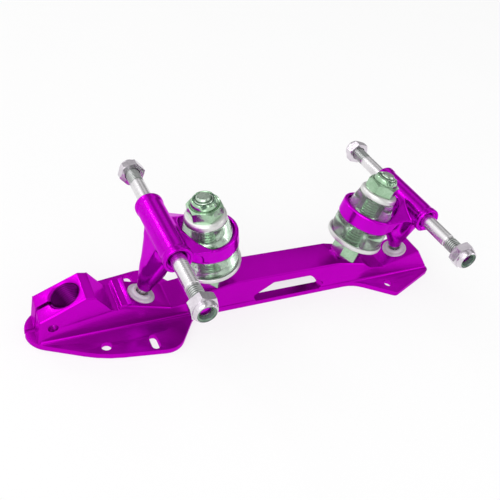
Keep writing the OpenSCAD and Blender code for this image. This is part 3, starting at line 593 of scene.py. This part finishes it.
# Plate: the model's own shape with its machined edges broken
machined = {"merge": 0.1, "flat": 0.6, "sharp": 28, "edge": 0.2, "stray": 0.1, "smooth": 21}
bm = bmesh.new()
bm.from_mesh(frame["nodes"]["plate"].data)
bmesh.ops.remove_doubles(bm, verts=bm.verts, dist=machined["merge"] * mm)
bmesh.ops.dissolve_limit(bm, angle_limit=math.radians(machined["flat"]), verts=bm.verts, edges=bm.edges)
# A bevel can fold a face with many corners
bmesh.ops.triangulate(bm, faces=[f for f in bm.faces if len(f.verts) > 4])
surface = BVHTree.FromBMesh(bm)
sharp = [e for e in bm.edges
         if e.is_manifold and e.is_convex and e.calc_face_angle(0) > math.radians(machined["sharp"])]
bmesh.ops.bevel(bm, geom=sharp, offset=machined["edge"] * mm, segments=2, profile=0.5, affect="EDGES", material=-1)
for v in bm.verts:  # a corner where many edges meet can be thrown off the plate
    spot, normal, index, distance = surface.find_nearest(v.co)
    if distance > machined["stray"] * mm:
        v.co = spot
piece = asPiece(bm, "plateMachined", "plate", machined["smooth"])
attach(piece, "plate_body")
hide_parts("plate")
print("plate's edges are broken")

# Hangers: cast, so their edges are soft and the arm flows into the tube
casting = {"voxel": 0.4, "passes": 5, "armPasses": 110, "armTop": 50.0, "armInner": 70.0, "armFoot": 5.6,
           "seat": (86.73, 15.47), "seatTilt": 17.5}
bm = bmesh.new()
bm.from_mesh(frame["nodes"]["rear_hanger"].data)
bmesh.ops.remove_doubles(bm, verts=bm.verts, dist=0.002 * mm)
mesh = bpy.data.meshes.new("rough")
bm.to_mesh(mesh)
bm.free()
rough = bpy.data.objects.new("rough", mesh)
scene.collection.objects.link(rough)
grid = rough.modifiers.new("grid", "REMESH")
grid.mode = "VOXEL"
grid.voxel_size = casting["voxel"] * mm
ready = bpy.data.meshes.new_from_object(rough.evaluated_get(bpy.context.evaluated_depsgraph_get()))
bpy.data.objects.remove(rough)
bm = bmesh.new()
bm.from_mesh(ready)
tilt = math.radians(casting["seatTilt"])
arm = []
for v in bm.verts:
    x, z = v.co.x / mm - casting["seat"][0], v.co.z / mm - casting["seat"][1]
    aboveSeat = z * math.cos(tilt) - x * math.sin(tilt)
    if (aboveSeat > casting["armFoot"] and v.co.z < casting["armTop"] * mm
            and v.co.x > casting["armInner"] * mm):
        arm.append(v)
for verts, passes in ((arm, casting["armPasses"]), (bm.verts, casting["passes"])):
    for step in range(passes):
        bmesh.ops.smooth_vert(bm, verts=verts, factor=0.5, use_axis_x=True, use_axis_y=True, use_axis_z=True)
for end, side in ends.items():
    turnedRound = bm.copy()
    turnedRound.transform(Matrix.Diagonal((side, side, 1, 1)))
    piece = asPiece(turnedRound, end + "HangerCasting", "hanger", 60)
    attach(piece, end + "_truck")
    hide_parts(end + "_hanger")
print("hangers are cast,", len(bm.faces), "faces")
bm.free()

# Floor, light and background
paperSheet = {"half": 4, "under": 0.3, "tone": 0.94, "change": 0.04, "cloudScale": 6.0, "glow": 0.75}
floorMesh = bpy.data.meshes.new("floor")
bm = bmesh.new()
bmesh.ops.create_grid(bm, x_segments=1, y_segments=1, size=paperSheet["half"])
bm.transform(Matrix.Translation((0, 0, -paperSheet["under"] * mm)))
bm.to_mesh(floorMesh)
bm.free()
floor = bpy.data.objects.new("floor", floorMesh)
scene.collection.objects.link(floor)
paper = Finish("paperFloor", Roughness=0.9)
paper.feed("Base Color", paper.blend(paper.noise(paperSheet["cloudScale"]), (paperSheet["tone"],) * 3,
                                     (paperSheet["tone"] + paperSheet["change"],) * 3))
rays = paper.node("LightPath", {}, {}, "Is Camera Ray")
seen = paper.node("Math", {"operation": "MINIMUM"},
                  {0: rays + rays.beside("Is Glossy Ray") + rays.beside("Is Transmission Ray"), 1: 1.0})
glow = paper.node("Emission", {}, {"Strength": 1.0})
both = paper.node("MixShader", {},
                  {0: seen * paperSheet["glow"], 1: Value(paper, paper.shader.outputs[0]), 2: glow})
paper.tree.links.new(both.socket, paper.tree.nodes["Material Output"].inputs[0])
floorMesh.materials.append(paper.material)

# White panels round the set with dark gaps between them, which metal shows as streaks
studio = {"strength": 1.3, "front": 1.2, "frontFrom": 0.1, "frontTo": -0.5,
          "gapToward": (-0.15, -0.52, 0.84), "gapEdge": (0.94, 0.98), "gapDepth": 0.85, "gapTone": 0.05,
          "panels": [(0.0, 0.55), (0.07, 0.30), (0.20, 0.30), (0.27, 0.76), (0.38, 0.76), (0.43, 0.42),
                     (0.50, 0.38), (0.56, 0.82), (0.64, 0.95), (0.69, 1.28), (0.80, 1.2), (0.92, 1.1),
                     (1.0, 1.0)]}
world = bpy.data.worlds.new("studio")
scene.world = world
world.use_nodes = True
sky = Shading(world.node_tree)
around = sky.node("TexCoord", {}, {}, "Generated")
toward = sky.node("SeparateXYZ", {}, {0: around})
angle = sky.node("Math", {"operation": "ARCTAN2"}, {0: toward.beside("Z"), 1: toward})
stops = [(spot, (level / studio["strength"],) * 3) for spot, level in studio["panels"]]
panels = sky.node("ValToRGB", {"stops": stops}, {0: angle / math.pi})
gap = sky.node("VectorMath", {"operation": "DOT_PRODUCT"}, {0: around, 1: studio["gapToward"]}, "Value")
gap = sky.step(gap, *studio["gapEdge"]) * studio["gapDepth"]
front = sky.step(toward.beside("Y"), studio["frontFrom"], studio["frontTo"], 1.0, studio["front"])
panels = sky.node("VectorMath", {"operation": "SCALE"}, {0: panels, "Scale": front})
panels = sky.blend(gap, panels, (studio["gapTone"],) * 3)
isSeen = sky.node("LightPath", {}, {}, "Is Camera Ray")
shade = sky.blend(isSeen, panels, (1 / studio["strength"],) * 3)
air = world.node_tree.nodes["Background"]
world.node_tree.links.new(shade.socket, air.inputs["Color"])
air.inputs["Strength"].default_value = studio["strength"]

lamps = {
    "key": {"place": (-0.55, -0.55, 0.85), "size": (0.9, 0.9), "power": 3.6},
    "spark": {"place": (-0.46, 0.66, 0.59), "size": (0.04, 0.22), "power": 0.35},
    "side": {"place": (0.95, -0.55, 0.50), "size": (0.6, 0.6), "power": 1.6},
}
for name, lamp in lamps.items():
    data = bpy.data.lights.new(name, "AREA")
    data.energy = lamp["power"]
    data.shape = "RECTANGLE"
    data.size, data.size_y = lamp["size"]
    light = bpy.data.objects.new(name, data)
    light.location = lamp["place"]
    light.rotation_euler = (-Vector(lamp["place"])).to_track_quat("-Z", "Y").to_euler()
    scene.collection.objects.link(light)
scene.view_settings.view_transform = "Standard"
print("studio is lit")
